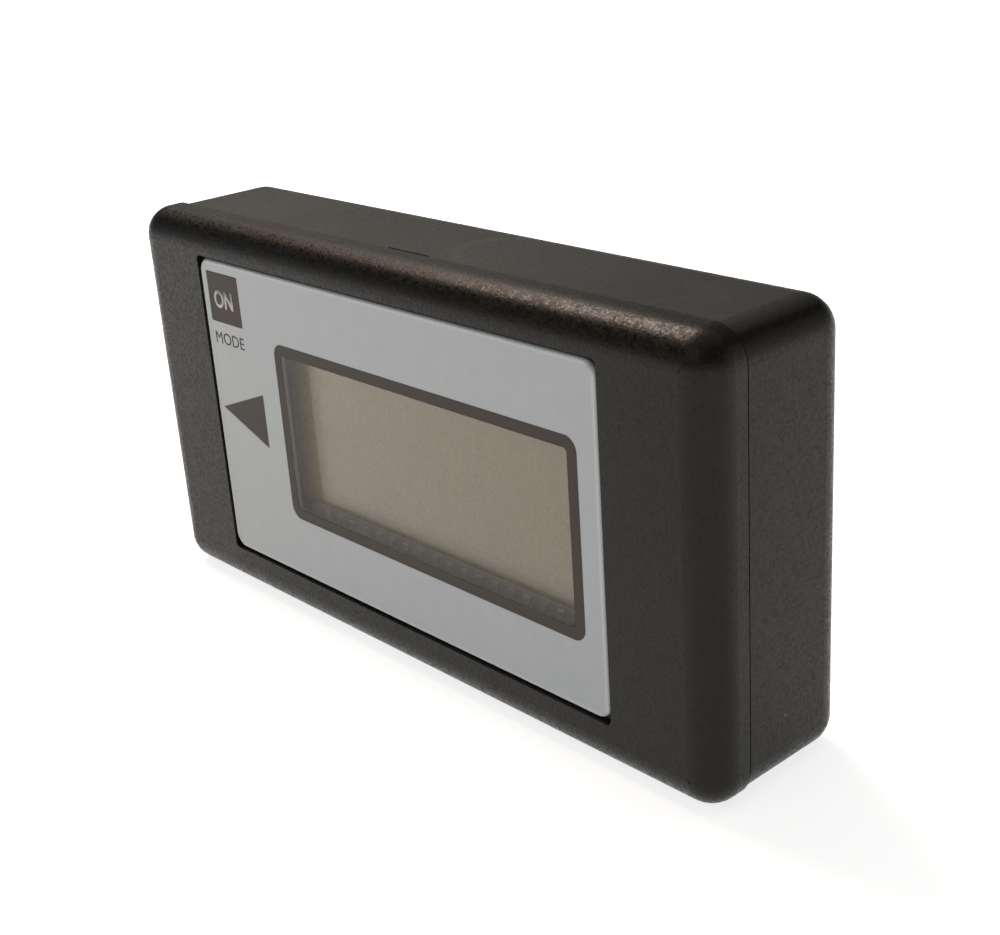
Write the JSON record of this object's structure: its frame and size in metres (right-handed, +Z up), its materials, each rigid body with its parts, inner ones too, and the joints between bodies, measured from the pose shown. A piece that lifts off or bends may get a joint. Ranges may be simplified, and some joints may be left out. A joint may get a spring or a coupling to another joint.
{
  "type": "wireless engine tachometer",
  "caption": "Slim black two-shell case with a grey front label, a wide display window, an ON key and an arrow towards the end that senses an engine's ignition.",
  "frame": {"origin": "centre of the bottom, on the surface that the case stands on", "axes": "+Z up, +X along the face to the right of a reader, -Y out of the face towards the reader"},
  "size_m": [0.095, 0.0208, 0.049],
  "materials": {
    "case_abs": "moulded black ABS with a fine spark-eroded grain",
    "label_film": "screen-printed polycarbonate film, silver grey",
    "label_ink": "dark brown-grey ink on the polycarbonate film",
    "key_abs": "moulded ABS",
    "lens_acrylic": "clear acrylic",
    "gasket_foam": "closed-cell black foam",
    "polariser_film": "anti-glare polariser film",
    "display_glass": "soda-lime glass with clear conductor",
    "reflector_film": "rear polariser with a grey reflector",
    "tinned_metal": "tin-plated phosphor bronze strip",
    "foam_tape": "white foam tape",
    "board_laminate": "glass-epoxy board under green solder mask",
    "screw_steel": "zinc-plated steel",
    "switch_plastic": "moulded nylon",
    "switch_metal": "stainless steel sheet",
    "holder_plastic": "moulded nylon",
    "contact_metal": "nickel-plated spring brass",
    "cell_steel": "stainless steel can",
    "bobbin_plastic": "moulded natural nylon",
    "ferrite": "ground ferrite",
    "copper_winding": "enamelled copper wire",
    "chip_epoxy": "moulded epoxy",
    "crystal_can": "nickel-plated can",
    "capacitor_sleeve": "printed PET sleeve on an aluminium can",
    "chip_ceramic": "sintered ceramic",
    "chip_resistive": "glazed thick film"
  },
  "bodies": {
    "case": {"front_shell": "case_abs", "rear_shell": "case_abs", "face_label": "label_film", "window_lens": "lens_acrylic", "window_gasket": "gasket_foam", "display_polariser": "polariser_film", "display_front_glass": "display_glass", "display_rear_glass": "display_glass", "display_reflector": "reflector_film", "display_pins": "tinned_metal", "display_spacer": "foam_tape", "circuit_board": "board_laminate", "board_screws": "screw_steel", "switch_base": "switch_plastic", "switch_terminals": "tinned_metal", "switch_cover": "switch_metal", "switch_dome": "switch_metal", "battery_holder": "holder_plastic", "battery_contact_minus": "contact_metal", "battery_contact_plus": "contact_metal", "coin_cell": "cell_steel", "pickup_bobbin": "bobbin_plastic", "pickup_rod": "ferrite", "pickup_winding": "copper_winding", "controller_chip": "chip_epoxy", "controller_leads": "tinned_metal", "amplifier_chip": "chip_epoxy", "amplifier_leads": "tinned_metal", "clock_crystal": "crystal_can", "buffer_capacitor": "capacitor_sleeve", "chip_resistors": "chip_resistive", "chip_capacitors": "chip_ceramic"},
    "key": {"label_key_area": "label_ink", "on_key": "key_abs"},
    "stem": {"switch_stem": "switch_plastic"}
  },
  "joints": [
    {"name": "on_key_press", "type": "slide", "parent": "case", "child": "key", "axis": [0, 1, 0], "range_m": [0, 0.00025], "stiffness_N_per_m": 6400},
    {"name": "switch_stem_press", "type": "slide", "parent": "case", "child": "stem", "axis": [0, 1, 0], "range_m": [0, 0.00025], "stiffness_N_per_m": 1000}
  ],
  "couplings": [
    {"joint": "switch_stem_press", "follows": "on_key_press", "ratio": 1}
  ]
}
